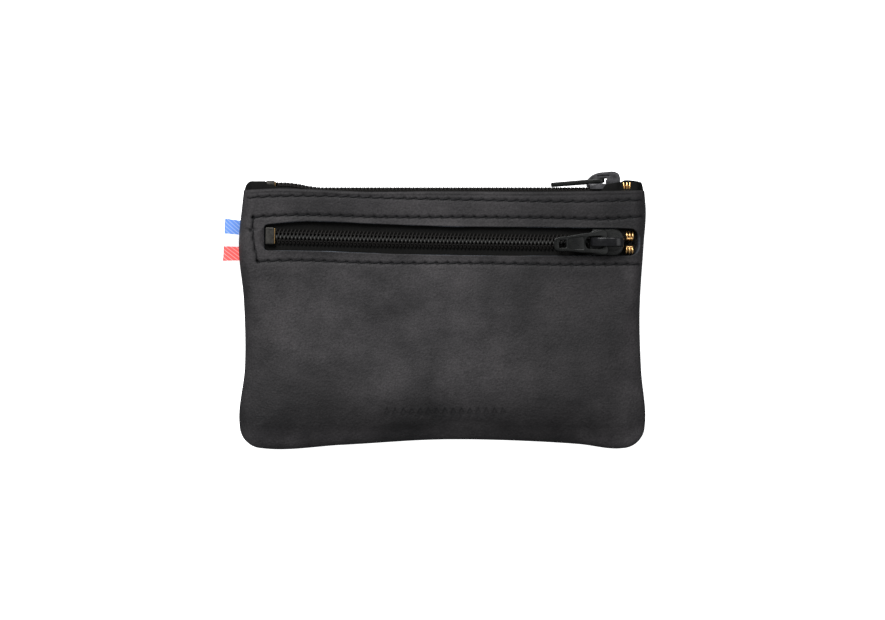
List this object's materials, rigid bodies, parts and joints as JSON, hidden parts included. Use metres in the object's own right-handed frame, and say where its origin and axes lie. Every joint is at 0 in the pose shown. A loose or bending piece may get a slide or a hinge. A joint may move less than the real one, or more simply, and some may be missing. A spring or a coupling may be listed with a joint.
{
  "type": "coin purse",
  "caption": "Flat leather coin purse with a zip along its mouth, a second zip in a window of its front panel, and a folded ribbon tab in the side seam.",
  "frame": {"origin": "centre of the back panel's flat outer face, on the surface the purse lies on", "axes": "+X along the zips towards their closed ends, +Y from the base to the main zip, +Z out of the front panel"},
  "size_m": [0.1356, 0.0891, 0.0174],
  "materials": {
    "leather": "soft full-grain, dark charcoal",
    "lining": "plain woven lining, near black",
    "zip_tape": "woven polyester tape, black",
    "zip_coil": "nylon coil, black",
    "gunmetal": "black gunmetal plating",
    "dark_brass": "darkened brass",
    "brass": "bright brass",
    "thread": "bonded sewing thread, black",
    "ribbon": "three-colour twill ribbon"
  },
  "bodies": {
    "purse": {"back_panel": "leather", "front_bottom_stop": "dark_brass", "front_panel": "leather", "front_top_stop_lower": "brass", "front_top_stop_upper": "brass", "front_zip_coil_lower": "zip_coil", "front_zip_coil_upper": "zip_coil", "front_zip_tape_lower": "zip_tape", "front_zip_tape_upper": "zip_tape", "main_bottom_stop": "dark_brass", "main_top_stop_back": "brass", "main_top_stop_front": "brass", "main_zip_coil_back": "zip_coil", "main_zip_coil_front": "zip_coil", "main_zip_stitch_back": "thread", "main_zip_stitch_front": "thread", "main_zip_tape_back": "zip_tape", "main_zip_tape_front": "zip_tape", "pocket_divider": "lining", "pocket_stitch": "thread", "ribbon_ends": "ribbon", "side_seam_thread": "thread"},
    "main_slider": {"main_slider_body": "gunmetal", "main_slider_bridge": "gunmetal"},
    "main_puller": {"main_puller": "gunmetal"},
    "main_lock": {"main_lock_pawl": "dark_brass"},
    "front_slider": {"front_slider_body": "gunmetal", "front_slider_bridge": "gunmetal"},
    "front_puller": {"front_puller": "gunmetal"},
    "front_lock": {"front_lock_pawl": "dark_brass"},
    "ribbon_tab": {"ribbon_tab": "ribbon"}
  },
  "joints": [
    {"name": "main_slider_slide", "type": "slide", "parent": "purse", "child": "main_slider", "axis": [-1, 0, 0], "range_m": [0, 0.1]},
    {"name": "main_puller_flip", "type": "hinge", "parent": "main_slider", "child": "main_puller", "pos_m": [0.0514, 0.0448, 0.00625], "axis": [0, 0, -1], "range_deg": [0, 155]},
    {"name": "main_lock_lift", "type": "slide", "parent": "main_slider", "child": "main_lock", "axis": [0, 1, 0], "range_m": [0, 0.0005]},
    {"name": "front_slider_slide", "type": "slide", "parent": "purse", "child": "front_slider", "axis": [-0.9998, 0.0192, 0], "range_m": [0, 0.1005]},
    {"name": "front_puller_flip", "type": "hinge", "parent": "front_slider", "child": "front_puller", "pos_m": [0.05199, 0.0248, 0.01455], "axis": [0.0192, 0.9998, 0], "range_deg": [0, 155]},
    {"name": "front_lock_lift", "type": "slide", "parent": "front_slider", "child": "front_lock", "axis": [0, 0, 1], "range_m": [0, 0.0005]},
    {"name": "ribbon_tab_bend", "type": "hinge", "parent": "purse", "child": "ribbon_tab", "pos_m": [-0.0658, 0.0256, 0.00625], "axis": [0.0523, 0.9986, 0], "range_deg": [-60, 60], "stiffness_Nm_per_rad": 0.0002}
  ],
  "couplings": [
    {"joint": "main_lock_lift", "follows": "main_puller_flip", "m_per_rad": 0.00018113},
    {"joint": "front_lock_lift", "follows": "front_puller_flip", "m_per_rad": 0.00018113}
  ]
}
